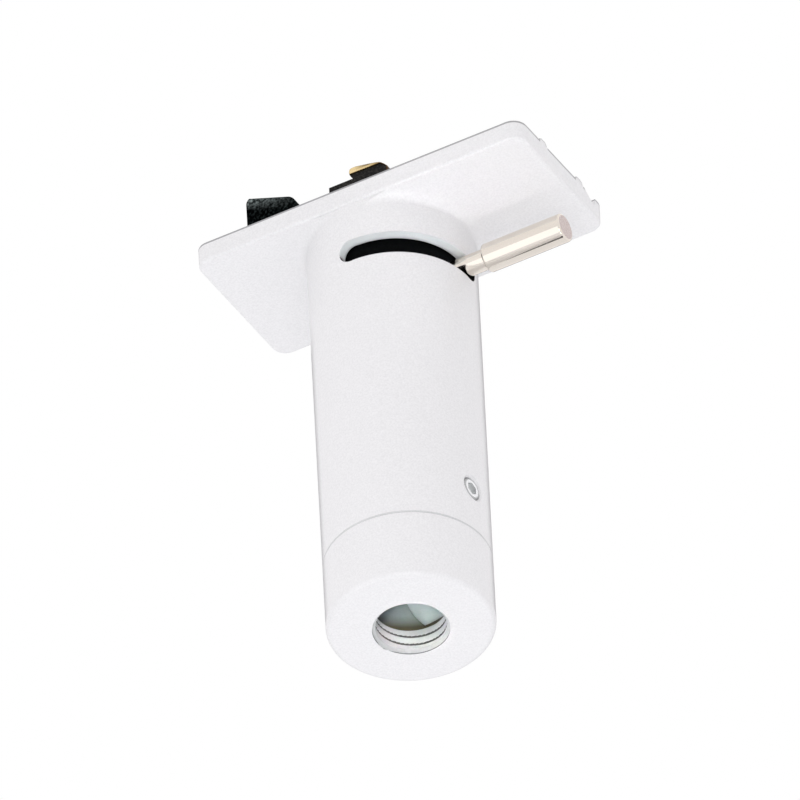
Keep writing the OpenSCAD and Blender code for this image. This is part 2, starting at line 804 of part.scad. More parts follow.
module contact_head() {
    color(black_plastic) difference() {
        union() {
            translate([0, 0, shoulder_h]) cylinder(r = hub_r, h = head_h - shoulder_h + head_t / 2);
            translate([-head_half, -head_reach, head_h]) cube([head_w, 2 * head_reach, head_t]);
            at_bar_ends() across_bar(contact_w - 2 * contact_block_inset) contact_block_outline();
        }
        translate([0, 0, shoulder_h]) flatted_end(seat_fit);
        translate([0, 0, shoulder_h - over]) cylinder(r = wire_r / 2, h = head_top_z + over);
        at_bar_ends() translate([head_half - contact_t - seat_fit, -head_reach - over, head_h - over])
            cube([contact_t + seat_fit + over, contact_w + seat_fit + over, head_t + 2 * over]);
        at_bar_ends() translate([rivet_x, contact_y, head_h - over])
            cylinder(r = rivet_r + seat_fit, h = head_t + contact_block_h + 2 * over);
        for (s = [-1, 1]) {
            translate([s * head_screw_x, 0, shoulder_h])
                cylinder(r = head_screw_r + seat_fit, h = head_top_z);
            translate([s * head_screw_x, 0, head_top_z - head_screw_head_t])
                cylinder(r = head_screw_head_r + seat_fit, h = head_screw_head_t + over);
        }
    }
}

module head_screws() {
    color(steel) for (s = [-1, 1])
        translate([s * head_screw_x, 0, head_top_z - head_screw_head_t])
            mirror([0, 0, 1])
                cheese_screw(head_screw_r, head_screw_l - over, head_screw_head_r, head_screw_head_t);
}

// Brass contact on the -Y end of the bar, with a blind hole for its rivet
module contact_shoe() {
    difference() {
        across_bar(contact_w) contact_outline();
        translate([rivet_x, contact_y, head_top_z])
            cylinder(r = rivet_r + seat_fit, h = rivet_top_z + seat_fit - head_top_z);
    }
}

module line_contact() {
    color(brass) contact_shoe();
}

module neutral_contact() {
    color(brass) rotate([0, 0, 180]) contact_shoe();
}

module contact_rivets() {
    color(brass) at_bar_ends() translate([rivet_x, contact_y, head_h]) {
        cylinder(r = rivet_r, h = rivet_top_z - head_h);
        translate([0, 0, -rivet_head_t]) cylinder(r = rivet_head_r, h = rivet_head_t);
    }
}

housing();
end_cap();
cap_grub_screw();
track_insert();
insert_screws();
rotor_bush();
wave_washer();
bearing_plate();
retaining_ring();
terminal_block();
terminal_sleeves();
terminal_screws();
block_screw();
earth_tag();
earth_screw();
earth_contact();
earth_rivets();
rotor();
lever_stud();
lever_handle();
contact_head();
head_screws();
line_contact();
neutral_contact();
contact_rivets();
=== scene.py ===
import json
import math

import bmesh
import bpy
from mathutils import Matrix, Vector


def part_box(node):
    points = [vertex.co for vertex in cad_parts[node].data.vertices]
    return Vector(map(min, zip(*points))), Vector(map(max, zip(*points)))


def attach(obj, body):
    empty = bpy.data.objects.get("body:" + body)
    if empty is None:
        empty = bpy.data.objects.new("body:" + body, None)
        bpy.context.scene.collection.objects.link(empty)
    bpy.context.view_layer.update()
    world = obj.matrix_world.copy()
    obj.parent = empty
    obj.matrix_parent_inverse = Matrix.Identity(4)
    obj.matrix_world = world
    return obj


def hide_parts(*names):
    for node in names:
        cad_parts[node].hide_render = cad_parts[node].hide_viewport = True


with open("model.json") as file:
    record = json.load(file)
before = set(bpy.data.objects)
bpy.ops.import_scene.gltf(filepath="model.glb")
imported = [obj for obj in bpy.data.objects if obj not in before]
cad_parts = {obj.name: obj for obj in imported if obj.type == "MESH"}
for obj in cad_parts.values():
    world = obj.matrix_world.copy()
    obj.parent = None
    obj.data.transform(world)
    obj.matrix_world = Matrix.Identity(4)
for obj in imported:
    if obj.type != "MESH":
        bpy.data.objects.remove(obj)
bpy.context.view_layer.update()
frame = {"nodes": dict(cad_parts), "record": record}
nodes = frame["nodes"]
scene = bpy.context.scene

MM = 0.001
FULL_TURN = 2 * math.pi

# Sizes from the frame
housing_low, housing_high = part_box("housing")
cap_low, cap_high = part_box("end_cap")
handle_low, handle_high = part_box("lever_handle")
stud_low, stud_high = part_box("lever_stud")
strip_low, strip_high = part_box("line_contact")
grub_low, grub_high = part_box("cap_grub_screw")
disc_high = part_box("bearing_plate")[1]

PARTING_Z = housing_low[2]
BOTTOM_Z = cap_low[2]
SPIGOT_TOP = cap_high[2]
TUBE_R = cap_high[0]
LEVER_Z = (handle_low[2] + handle_high[2]) / 2

# Sizes repeated from the part's source
SEAT_FIT = 0.05 * MM
SPIGOT_WALL = 2 * MM
CAP_EDGE_R = 1.2 * MM
PARTING_CHAMFER = 0.25 * MM
NUB_NEAR_Y = 5.6 * MM
NUB_FAR_Y = 8.6 * MM

BORE_R = disc_high[0] + SEAT_FIT
SPIGOT_R = BORE_R - SEAT_FIT
CHAMBER_R = SPIGOT_R - SPIGOT_WALL

# Helpers for shader nodes

# Sockets of the mix nodes, which have their own for each kind of value
FIRST_VECTOR = 4
SECOND_VECTOR = 5
MIXED_VECTOR = 1
FIRST_COLOUR = 6
SECOND_COLOUR = 7
MIXED_COLOUR = 2
FIRST_SHADER = 1
SECOND_SHADER = 2

# Most of a noise lies between these two values
NOISE_LOW = 0.3
NOISE_HIGH = 0.7
FINE_DETAIL = 3.0
SHARP_NOISE = 0.6

BEVEL_SAMPLES = 6
FLAT_LIMIT = 0.97


def new_material(name):
    """A new material, its node tree and its shader."""
    mat = bpy.data.materials.new(name)
    mat.use_nodes = True
    tree = mat.node_tree
    tree.nodes.clear()
    out = tree.nodes.new("ShaderNodeOutputMaterial")
    shader = tree.nodes.new("ShaderNodeBsdfPrincipled")
    tree.links.new(shader.outputs["BSDF"], out.inputs["Surface"])
    return mat, tree, shader


def opaque(tone):
    return (*tone, 1)


def feed(tree, value, socket):
    """Links what comes from another node, and sets a plain number, vector or colour."""
    if isinstance(value, bpy.types.NodeSocket):
        tree.links.new(value, socket)
    else:
        socket.default_value = value


def surface(tree, shader, colour, roughness, normal):
    tree.links.new(colour, shader.inputs["Base Color"])
    tree.links.new(roughness, shader.inputs["Roughness"])
    tree.links.new(normal, shader.inputs["Normal"])


def object_coords(tree):
    return tree.nodes.new("ShaderNodeTexCoord").outputs["Object"]


def face_normal(tree):
    return tree.nodes.new("ShaderNodeNewGeometry").outputs["Normal"]


def part_of(tree, vector, axis):
    node = tree.nodes.new("ShaderNodeSeparateXYZ")
    tree.links.new(vector, node.inputs["Vector"])
    return node.outputs[axis]


def math_node(tree, kind, *values):
    node = tree.nodes.new("ShaderNodeMath")
    node.operation = kind
    for value, socket in zip(values, node.inputs):
        feed(tree, value, socket)
    return node.outputs[0]


def vector_node(tree, kind, *values):
    node = tree.nodes.new("ShaderNodeVectorMath")
    node.operation = kind
    for value, socket in zip(values, node.inputs):
        feed(tree, value, socket)
    return node.outputs["Value" if kind in ("DOT_PRODUCT", "LENGTH") else "Vector"]


def times(tree, first, second):
    return math_node(tree, "MULTIPLY", first, second)


def fade(tree, value, start, end, to_start, to_end, kind="LINEAR"):
    """Maps a value from one range to another and keeps it inside the second."""
    node = tree.nodes.new("ShaderNodeMapRange")
    node.interpolation_type = kind
    feed(tree, value, node.inputs["Value"])
    feed(tree, start, node.inputs["From Min"])
    feed(tree, end, node.inputs["From Max"])
    feed(tree, to_start, node.inputs["To Min"])
    feed(tree, to_end, node.inputs["To Max"])
    return node.outputs["Result"]


def rise(tree, value, start, end):
    return fade(tree, value, start, end, 0.0, 1.0)


def fall(tree, value, start, end):
    return fade(tree, value, start, end, 1.0, 0.0)


def span(tree, value, low, high):
    return fade(tree, value, NOISE_LOW, NOISE_HIGH, low, high)


def stretched(tree, coords, stretch):
    node = tree.nodes.new("ShaderNodeMapping")
    node.inputs["Scale"].default_value = stretch
    tree.links.new(coords, node.inputs["Vector"])
    return node.outputs["Vector"]


def noise(tree, coords, scale, detail=2.0, rough=0.5):
    node = tree.nodes.new("ShaderNodeTexNoise")
    node.inputs["Scale"].default_value = scale
    node.inputs["Detail"].default_value = detail
    node.inputs["Roughness"].default_value = rough
    tree.links.new(coords, node.inputs["Vector"])
    return node.outputs["Fac"]


def cells(tree, coords, scale):
    node = tree.nodes.new("ShaderNodeTexVoronoi")
    node.feature = "SMOOTH_F1"
    node.inputs["Scale"].default_value = scale
    tree.links.new(coords, node.inputs["Vector"])
    return node.outputs["Distance"]


def ramp(tree, value, low, high, start=NOISE_LOW, end=NOISE_HIGH):
    node = tree.nodes.new("ShaderNodeValToRGB")
    first, second = node.color_ramp.elements
    first.position = start
    second.position = end
    first.color = opaque(low)
    second.color = opaque(high)
    tree.links.new(value, node.inputs["Fac"])
    return node.outputs["Color"]


def mixed(tree, factor, first, second):
    """The first colour where the factor is zero, the second where it is one."""
    node = tree.nodes.new("ShaderNodeMix")
    node.data_type = "RGBA"
    tree.links.new(factor, node.inputs["Factor"])
    feed(tree, first, node.inputs[FIRST_COLOUR])
    feed(tree, second, node.inputs[SECOND_COLOUR])
    return node.outputs[MIXED_COLOUR]


def bevel_normal(tree, radius):
    node = tree.nodes.new("ShaderNodeBevel")
    node.samples = BEVEL_SAMPLES
    node.inputs["Radius"].default_value = radius
    return node.outputs["Normal"]


def bump(tree, height, distance, strength, under):
    node = tree.nodes.new("ShaderNodeBump")
    node.inputs["Distance"].default_value = distance
    node.inputs["Strength"].default_value = strength
    tree.links.new(height, node.inputs["Height"])
    tree.links.new(under, node.inputs["Normal"])
    return node.outputs["Normal"]


def sharp_edges(tree, radius, limit):
    """One along sharp edges, zero elsewhere."""
    alike = vector_node(tree, "DOT_PRODUCT", bevel_normal(tree, radius), face_normal(tree))
    return fall(tree, alike, limit, FLAT_LIMIT)


# Powder coat: orange peel, edges darkened partly for wear and partly as painted shade, and a thin dark line
# of painted shade under the plate's top face and round the nubs
COAT_GRAIN = 2600
COAT_ROUGHNESS_GRAIN = 1200
COAT_ROUGHNESS = (0.34, 0.44)
COAT_SPECULAR = 0.35
COAT_GLOSS = 0.35
COAT_GLOSS_ROUGHNESS = 0.12
PEEL_GRAIN = 2200
PEEL_DEPTH = 0.02 * MM
PEEL_STRENGTH = 0.3
EDGE_WEAR_AND_SHADE_RADIUS = 0.3 * MM
EDGE_WEAR_AND_SHADE_LIMIT = 0.80

RIM_SHADE_TONE = (0.36, 0.36, 0.37)
RIM_START_Z = -0.48 * MM
RIM_FULL_Z = -0.30 * MM
RIM_END_Z = 0.05 * MM
UPRIGHT_LIMITS = (0.80, 0.95)
NUB_END_X = housing_high[0] - 0.4 * MM
NUB_BLUR = 0.1 * MM
NUB_EDGE = 0.7 * MM
NUB_EDGE_LIMIT = 0.90

ROOF_LEAN_INNER = 0.70
ROOF_LEAN_OUTER = 0.0
ROOF_GLOW = 0.8
ROOF_GLOW_DEPTH = 0.8 * MM


def below_nub(tree, coords):
    """One on the rim where a guide nub stands on it, zero elsewhere."""
    aside = math_node(tree, "ABSOLUTE", part_of(tree, coords, "Y"))
    past_near = rise(tree, aside, NUB_NEAR_Y - NUB_BLUR, NUB_NEAR_Y + NUB_BLUR)
    before_far = fall(tree, aside, NUB_FAR_Y - NUB_BLUR, NUB_FAR_Y + NUB_BLUR)
    at_end = rise(tree, part_of(tree, coords, "X"), NUB_END_X - NUB_BLUR, NUB_END_X)
    return times(tree, times(tree, past_near, before_far), at_end)


def above_plate(tree, coords):
    return rise(tree, part_of(tree, coords, "Z"), RIM_END_Z, RIM_END_Z + NUB_BLUR)


def top_rim_shade(tree, coords):
    """One on the upright sides just under the plate's top face, where a thin line of painted shade goes, zero
    elsewhere.
    """
    height = part_of(tree, coords, "Z")
    band = times(tree, rise(tree, height, RIM_START_Z, RIM_FULL_Z), fall(tree, height, 0.0, RIM_END_Z))
    facing = part_of(tree, tree.nodes.new("ShaderNodeTexCoord").outputs["Normal"], "Z")
    upright = times(tree, band, fall(tree, facing, *UPRIGHT_LIMITS))
    return times(tree, upright, fall(tree, below_nub(tree, coords), 0.0, 1.0))


def leaning_normal(tree, coords):
    """Normal of the slot's roof, which leans outwards most at the bore and not at all at the tube's face."""
    flat = vector_node(tree, "MULTIPLY", coords, (1, 1, 0))
    reach = vector_node(tree, "LENGTH", flat)
    lean = tree.nodes.new("ShaderNodeMix")
    lean.data_type = "VECTOR"
    share = fade(tree, reach, BORE_R, TUBE_R, ROOF_LEAN_INNER, ROOF_LEAN_OUTER)
    tree.links.new(share, lean.inputs["Factor"])
    tree.links.new(face_normal(tree), lean.inputs[FIRST_VECTOR])
    tree.links.new(vector_node(tree, "NORMALIZE", flat), lean.inputs[SECOND_VECTOR])
    return vector_node(tree, "NORMALIZE", lean.outputs[MIXED_VECTOR])


def powder_coat(name, low, high, wear_and_painted_light, edge, gloss=COAT_GLOSS, roof=False):
    mat, tree, shader = new_material(name)
    coords = object_coords(tree)
    tone = ramp(tree, noise(tree, coords, COAT_GRAIN, rough=SHARP_NOISE), low, high)
    # Sharp edges and creases take a darker tone: partly wear, partly painted shade
    tone = mixed(tree, sharp_edges(tree, EDGE_WEAR_AND_SHADE_RADIUS, EDGE_WEAR_AND_SHADE_LIMIT), tone, opaque(wear_and_painted_light))
    # Thin dark line of painted shade under the plate's top face and round the nubs
    nub_edge_shade = times(tree, sharp_edges(tree, NUB_EDGE, NUB_EDGE_LIMIT), above_plate(tree, coords))
    rim_shade = math_node(tree, "MAXIMUM", top_rim_shade(tree, coords), nub_edge_shade)
    tone = mixed(tree, rim_shade, tone, opaque(RIM_SHADE_TONE))
    roughness = span(tree, noise(tree, coords, COAT_ROUGHNESS_GRAIN), *COAT_ROUGHNESS)
    under = leaning_normal(tree, coords) if roof else bevel_normal(tree, edge)
    peel = noise(tree, coords, PEEL_GRAIN, rough=SHARP_NOISE)
    surface(tree, shader, tone, roughness, bump(tree, peel, PEEL_DEPTH, PEEL_STRENGTH, under))
    shader.inputs["Specular IOR Level"].default_value = COAT_SPECULAR
    shader.inputs["Coat Weight"].default_value = gloss
    shader.inputs["Coat Roughness"].default_value = COAT_GLOSS_ROUGHNESS
    # Subsurface scatter brightens the slot's roof: painted light
    if roof:
        shader.inputs["Subsurface Weight"].default_value = ROOF_GLOW
        shader.inputs["Subsurface Radius"].default_value = (1, 1, 1)
        shader.inputs["Subsurface Scale"].default_value = ROOF_GLOW_DEPTH
    return mat


# Plastic: moulded grain, edges rubbed and lightened as painted highlight, and a painted highlight along the
# tall lug's sloping top
PLASTIC_SPECULAR = 0.5
PLASTIC_BLOTCH = 0.8
PLASTIC_ROUGHNESS_GRAIN = 1600
PLASTIC_ROUGHNESS_REACH = 0.06
CELL_STRENGTH = 0.8
FINE_GRAIN_SHARE = 2.4
FINE_DEPTH_SHARE = 0.4
FINE_STRENGTH = 0.5
RUBBED_HIGHLIGHT_EDGE = 0.6 * MM
RUBBED_HIGHLIGHT_LIMIT = 0.72
HIGHLIGHT_SOONER = 0.12

LUG_SLOPE = 0.384
LUG_END_X = -27.6 * MM
LUG_HIGHLIGHT_END_X = -16.5 * MM
LUG_LEAST_HIGHLIGHT = 0.04
LUG_DARK_Z = 12.2 * MM
LUG_HIGHLIGHT_Z = 15.4 * MM


def lug_top_highlight(tree, coords):
    """One along the tall lug's sloping top, where a painted highlight goes, fading to zero down its sides and
    away from its outer end.
    """
    x = part_of(tree, coords, "X")
    drop = math_node(tree, "MULTIPLY_ADD", x, LUG_SLOPE, -LUG_SLOPE * LUG_END_X)
    height = math_node(tree, "ADD", drop, part_of(tree, coords, "Z"))
    upper = rise(tree, height, LUG_DARK_Z, LUG_HIGHLIGHT_Z)
    return times(tree, upper, fade(tree, x, LUG_END_X, LUG_HIGHLIGHT_END_X, 1.0, LUG_LEAST_HIGHLIGHT))


def grained_plastic(name, low, high, rough, grain, depth, edge, specular=PLASTIC_SPECULAR,
                    tones=(NOISE_LOW, NOISE_HIGH), rubbed_edge_highlight=None, wear_and_painted_light=None, blotch=PLASTIC_BLOTCH):
    mat, tree, shader = new_material(name)
    coords = object_coords(tree)
    start, end = tones
    patches = noise(tree, coords, grain * blotch, FINE_DETAIL, SHARP_NOISE)
    colour = ramp(tree, patches, low, high, start, end)
    # The lug's sloping top is lightened in patches: painted highlight
    if wear_and_painted_light is not None:
        highlight_patches = ramp(tree, patches, *wear_and_painted_light, start - HIGHLIGHT_SOONER, end)
        colour = mixed(tree, lug_top_highlight(tree, coords), colour, highlight_patches)
    # Edges take another tone: rubbing and painted highlight
    if rubbed_edge_highlight is not None:
        colour = mixed(tree, sharp_edges(tree, RUBBED_HIGHLIGHT_EDGE, RUBBED_HIGHLIGHT_LIMIT), colour, opaque(rubbed_edge_highlight))
    roughness = span(tree, noise(tree, coords, PLASTIC_ROUGHNESS_GRAIN),
                     rough - PLASTIC_ROUGHNESS_REACH, rough + PLASTIC_ROUGHNESS_REACH)
    coarse = bump(tree, cells(tree, coords, grain), depth, CELL_STRENGTH, bevel_normal(tree, edge))
    fine = noise(tree, coords, grain * FINE_GRAIN_SHARE)
    normal = bump(tree, fine, depth * FINE_DEPTH_SHARE, FINE_STRENGTH, coarse)
    surface(tree, shader, colour, roughness, normal)
    shader.inputs["Specular IOR Level"].default_value = specular
    return mat


# Metal: fine marks in colour, gloss and relief
METAL_EDGE = 0.1 * MM
MARK_STRENGTH = 0.3
METAL_TONE_SHARE = 0.4
DRAWN_LENGTHWAYS = (0.2, 1, 1)

WALL_STRETCH = (1, 1, 6)
WALL_GRAIN = 1500
WALL_ROUGHNESS = (0.40, 0.52)
WALL_MARK_DEPTH = 0.008 * MM
WALL_EDGE = 0.1 * MM


def worked_metal(name, low, high, rough, grain, depth, edge=METAL_EDGE, stretch=(1, 1, 1)):
    mat, tree, shader = new_material(name)
    shader.inputs["Metallic"].default_value = 1.0
    coords = stretched(tree, object_coords(tree), stretch)
    marks = noise(tree, coords, grain, FINE_DETAIL)
    colour = ramp(tree, noise(tree, coords, grain * METAL_TONE_SHARE), low, high)
    normal = bump(tree, marks, depth, MARK_STRENGTH, bevel_normal(tree, edge))
    surface(tree, shader, colour, span(tree, marks, *rough), normal)
    return mat


def raw_wall(name, low, high, foot, foot_z):
    """Bare turned wall that takes another colour towards its foot: painted shade under the pale guide, and
    painted light in the thread's grooves near the mouth.
    """
    mat, tree, shader = new_material(name)
    coords = object_coords(tree)
    marks = noise(tree, stretched(tree, coords, WALL_STRETCH), WALL_GRAIN, FINE_DETAIL)
    painted_foot_share = fall(tree, part_of(tree, coords, "Z"), *foot_z)
    colour = mixed(tree, painted_foot_share, ramp(tree, marks, low, high), opaque(foot))
    normal = bump(tree, marks, WALL_MARK_DEPTH, MARK_STRENGTH, bevel_normal(tree, WALL_EDGE))
    surface(tree, shader, colour, span(tree, marks, *WALL_ROUGHNESS), normal)
    return mat


# Brass of the contacts, browned as painted shade towards the leg, along its upper part and on its edges
STRIP_GRAIN = 1800
STRIP_BRASS = ((0.76, 0.58, 0.28), (0.90, 0.73, 0.41))
STRIP_SHADE_BROWN = (0.045, 0.022, 0.006)
STRIP_EDGE_SHADE_BROWN = (0.20, 0.095, 0.03)
STRIP_SHADE_EDGE = 0.35 * MM
STRIP_SHADE_EDGE_LIMIT = 0.72
STRIP_BRIGHT_Z = 8.25 * MM
STRIP_SHADE_Z = 8.70 * MM
STRIP_UPPER_START_X = -1.2 * MM
STRIP_LEG_START_X = 2.0 * MM
STRIP_LEG_SHADE_X = 5.4 * MM
STRIP_UPPER_MOST = 0.88
STRIP_ROUGHNESS = (0.18, 0.30)
STRIP_MARK_DEPTH = 0.006 * MM
STRIP_EDGE = 0.12 * MM


def shaded_brass(name, sign):
    """Brass that is bright at the contact's free end and along its foot, and browned as painted shade near
    its leg, along its upper part and on its edges.
    """
    mat, tree, shader = new_material(name)
    shader.inputs["Metallic"].default_value = 1.0
    coords = object_coords(tree)
    marks = noise(tree, stretched(tree, coords, DRAWN_LENGTHWAYS), STRIP_GRAIN, FINE_DETAIL)
    reach = part_of(tree, coords, "X")
    near_leg = rise(tree, reach, sign * STRIP_LEG_START_X, sign * STRIP_LEG_SHADE_X)
    upper = rise(tree, part_of(tree, coords, "Z"), STRIP_BRIGHT_Z, STRIP_SHADE_Z)
    before_leg = fade(tree, reach, sign * STRIP_UPPER_START_X, sign * STRIP_LEG_START_X,
                      0.0, STRIP_UPPER_MOST)
    # Brown towards the leg and along the upper part is painted shade
    brass_shade = math_node(tree, "MAXIMUM", near_leg, times(tree, upper, before_leg))
    colour = mixed(tree, brass_shade, ramp(tree, marks, *STRIP_BRASS), opaque(STRIP_SHADE_BROWN))
    # Brown on the edges is painted shade
    edges = sharp_edges(tree, STRIP_SHADE_EDGE, STRIP_SHADE_EDGE_LIMIT)
    colour = mixed(tree, edges, colour, opaque(STRIP_EDGE_SHADE_BROWN))
    normal = bump(tree, marks, STRIP_MARK_DEPTH, MARK_STRENGTH, bevel_normal(tree, STRIP_EDGE))
    surface(tree, shader, colour, span(tree, marks, *STRIP_ROUGHNESS), normal)
    return mat


# Materials
paint = powder_coat(
    "white_powder_coat", low=(0.805, 0.800, 0.807), high=(0.895, 0.890, 0.897), wear_and_painted_light=(0.78, 0.78, 0.79),
    edge=0.22 * MM)
# Paler, bluer copy of the paint for the slot's roof: painted light
lit_roof_paint = powder_coat(
    "slot_roof_painted_light", low=(0.87, 0.965, 0.985), high=(0.91, 0.985, 1.0), wear_and_painted_light=(0.90, 0.96, 0.98),
    edge=0.22 * MM, roof=True)
# Dark grey ring round the hole's mouth: painted shade
mouth_ring_shade = powder_coat(
    "mouth_ring_painted_shade", low=(0.13, 0.135, 0.135), high=(0.18, 0.185, 0.185), wear_and_painted_light=(0.15, 0.155, 0.155),
    edge=0.1 * MM)
thread_coat = powder_coat(
    "matt_thread_coat", low=(0.74, 0.75, 0.75), high=(0.81, 0.82, 0.82), wear_and_painted_light=(0.74, 0.75, 0.75),
    edge=0.1 * MM, gloss=0.0)
# Darker paint on the chamfer at the hole's mouth: painted shade
mouth_shade_coat = powder_coat(
    "matt_mouth_painted_shade", low=(0.58, 0.59, 0.59), high=(0.64, 0.65, 0.65), wear_and_painted_light=(0.58, 0.59, 0.59),
    edge=0.1 * MM, gloss=0.0)
# Darker paint on the housing's chamfer at the joint to the cap: painted shade
joint_shade_coat = powder_coat(
    "joint_painted_shade_coat", low=(0.64, 0.64, 0.645), high=(0.71, 0.71, 0.715), wear_and_painted_light=(0.66, 0.66, 0.665),
    edge=0.1 * MM)

lug_black = grained_plastic(
    "grained_black_plastic", low=(0.0003, 0.0006, 0.0006), high=(0.024, 0.032, 0.032), rough=0.42, grain=3300,
    depth=0.08 * MM, edge=0.4 * MM, specular=0.002, tones=(0.50, 0.74), rubbed_edge_highlight=(0.010, 0.015, 0.015),
    wear_and_painted_light=((0.010, 0.015, 0.015), (0.40, 0.46, 0.45)), blotch=0.5)
head_black = grained_plastic(
    "moulded_black_head", low=(0.010, 0.0095, 0.009), high=(0.066, 0.062, 0.056), rough=0.45, grain=3000,
    depth=0.05 * MM, edge=0.3 * MM, specular=0.06, tones=(0.48, 0.80), rubbed_edge_highlight=(0.020, 0.018, 0.015))
smooth_black = grained_plastic(
    "smooth_black_plastic", low=(0.0008, 0.0010, 0.0013), high=(0.003, 0.0035, 0.004), rough=0.50, grain=3200,
    depth=0.02 * MM, edge=0.2 * MM, specular=0.03)
cream = grained_plastic(
    "cream_plastic", low=(0.58, 0.54, 0.44), high=(0.64, 0.60, 0.50), rough=0.45, grain=2600,
    depth=0.02 * MM, edge=0.2 * MM)
# Pale sheet colour that stands in for a patch of light inside the hole: painted light
pale = grained_plastic(
    "pale_guide_painted_light", low=(0.84, 0.92, 0.95), high=(0.90, 0.96, 0.985), rough=0.40, grain=2600,
    depth=0.01 * MM, edge=0.1 * MM)

nickel = worked_metal(
    "polished_nickel", low=(0.78, 0.72, 0.645), high=(0.82, 0.76, 0.685), rough=(0.08, 0.14), grain=900,
    depth=0.002 * MM, edge=0.12 * MM, stretch=(0.12, 1, 1))
turned_end = worked_metal(
    "turned_nickel_end", low=(0.56, 0.475, 0.45), high=(0.60, 0.515, 0.49), rough=(0.20, 0.30), grain=2600,
    depth=0.004 * MM)
steel = worked_metal(
    "zinc_steel", low=(0.56, 0.57, 0.58), high=(0.64, 0.65, 0.66), rough=(0.24, 0.36), grain=2400,
    depth=0.006 * MM)
bright_screw = worked_metal(
    "bright_screw_steel", low=(0.84, 0.85, 0.86), high=(0.90, 0.91, 0.92), rough=(0.22, 0.32), grain=2400,
    depth=0.004 * MM)
dull_steel = worked_metal(
    "dull_socket_steel", low=(0.78, 0.79, 0.79), high=(0.86, 0.87, 0.87), rough=(0.35, 0.5), grain=2400,
    depth=0.004 * MM)
brass = worked_metal(
    "rolled_brass", low=(0.72, 0.45, 0.12), high=(0.82, 0.55, 0.19), rough=(0.16, 0.28), grain=1800,
    depth=0.006 * MM, edge=0.12 * MM, stretch=DRAWN_LENGTHWAYS)
bronze = worked_metal(
    "sintered_bronze", low=(0.42, 0.28, 0.13), high=(0.54, 0.37, 0.18), rough=(0.34, 0.48), grain=3000,
    depth=0.01 * MM)

# Near-black thread grooves, lighter towards the mouth: painted shade in the grooves
groove_shade = raw_wall(
    "thread_groove_painted_shade", low=(0.014, 0.015, 0.015), high=(0.028, 0.030, 0.030), foot=(0.085, 0.088, 0.086),
    foot_z=(-98.2 * MM, -96.8 * MM))
# The brown foot under the pale guide is painted shade
bare = raw_wall(
    "bare_turned_metal", low=(0.44, 0.50, 0.51), high=(0.51, 0.58, 0.59), foot=(0.085, 0.07, 0.036),
    foot_z=(-91.5 * MM, -88.5 * MM))
line_brass = shaded_brass("line_contact_brass", 1)
neutral_brass = shaded_brass("neutral_contact_brass", -1)

BY_SLOT = {
    "white_paint": paint, "black_plastic": smooth_black, "cream_plastic": cream, "polished_nickel": nickel,
    "bright_steel": steel, "brass": brass, "bronze": bronze,
}


def dress(obj, *mats):
    obj.data.materials.clear()
    for mat in mats:
        obj.data.materials.append(mat)


for sub in frame["record"]["subparts"]:
    dress(nodes[sub["node"]], BY_SLOT[sub["material_slot"]])
dress(nodes["track_insert"], lug_black)
dress(nodes["contact_head"], head_black)

# Grub screw: bright face with painted shade round its rim, dull socket
GRUB_COATS = [bright_screw, dull_steel]
GRUB_SOCKET_R = 1.5 * MM
GRUB_SOCKET_SUNK = 0.5 * MM
GRUB_SIDEWAYS = 0.5
GRUB_RIM = (1.85 * MM, 2.05 * MM)
GRUB_RIM_SHADE = (0.46, 0.47, 0.47)
grub = nodes["cap_grub_screw"]
grub_middle = (Vector(grub_low) + Vector(grub_high)) / 2
grub_axis = Vector((grub_middle.x, grub_middle.y, 0)).normalized()


def shaded_rim(mat, centre, axis, start, end, tone):
    """Darkens a turned end's colour outside a radius about its axis: painted shade of the gap round the
    screw.
    """
    tree = mat.node_tree
    colour = tree.nodes["Principled BSDF"].inputs["Base Color"]
    offset = vector_node(tree, "SUBTRACT", object_coords(tree), centre)
    reach = vector_node(tree, "LENGTH", vector_node(tree, "CROSS_PRODUCT", offset, axis))
    rim_shaded = mixed(tree, rise(tree, reach, start, end), colour.links[0].from_socket, opaque(tone))
    tree.links.new(rim_shaded, colour)


def grub_coat(face):
    offset = face.center - grub_middle
    depth = offset.dot(grub_axis)
    aside = offset - grub_axis * depth
    sideways = abs(face.normal.dot(grub_axis)) < GRUB_SIDEWAYS
    in_socket = aside.length < GRUB_SOCKET_R and (sideways or depth < GRUB_SOCKET_SUNK)
    return dull_steel if in_socket else bright_screw


dress(grub, *GRUB_COATS)
shaded_rim(bright_screw, grub_middle, grub_axis, *GRUB_RIM, GRUB_RIM_SHADE)
for face in grub.data.polygons:
    face.material_index = GRUB_COATS.index(grub_coat(face))

# Housing: bare metal inside its tube, a paler bluish copy of the paint on the slot's roof as painted light,
# black on the sill as painted shade, and darker paint on the joint to the cap as painted shade
HOUSING_COATS = [paint, bare, lit_roof_paint, smooth_black, joint_shade_coat]
SLOT_REACH = 3.2 * MM
SLOT_TILT = 0.1
WALL_MARGIN = 0.03 * MM
BORE_MARGIN = 0.01 * MM
BORE_TOP_Z = -4.6 * MM
JOINT_MARGIN = 0.3 * MM
housing = nodes["housing"]


def housing_coat(face):
    centre = face.center
    reach = math.hypot(centre.x, centre.y)
    in_wall = BORE_R + WALL_MARGIN < reach < TUBE_R - WALL_MARGIN
    in_slot = in_wall and abs(centre.z - LEVER_Z) < SLOT_REACH
    sill_tilt = -SLOT_TILT if centre.x > 0 else SLOT_TILT
    if reach < BORE_R + BORE_MARGIN and centre.z < BORE_TOP_Z:
        return bare
    # The slot's roof takes the paler copy of the paint: painted light
    if in_slot and face.normal.z < -SLOT_TILT:
        return lit_roof_paint
    # Black on the slot's sill is painted shade in the gap under the lever
    if in_slot and face.normal.z > sill_tilt:
        return smooth_black
    # The chamfer at the joint to the cap takes darker paint: painted shade
    if reach > BORE_R + JOINT_MARGIN and centre.z < PARTING_Z + PARTING_CHAMFER:
        return joint_shade_coat
    return paint


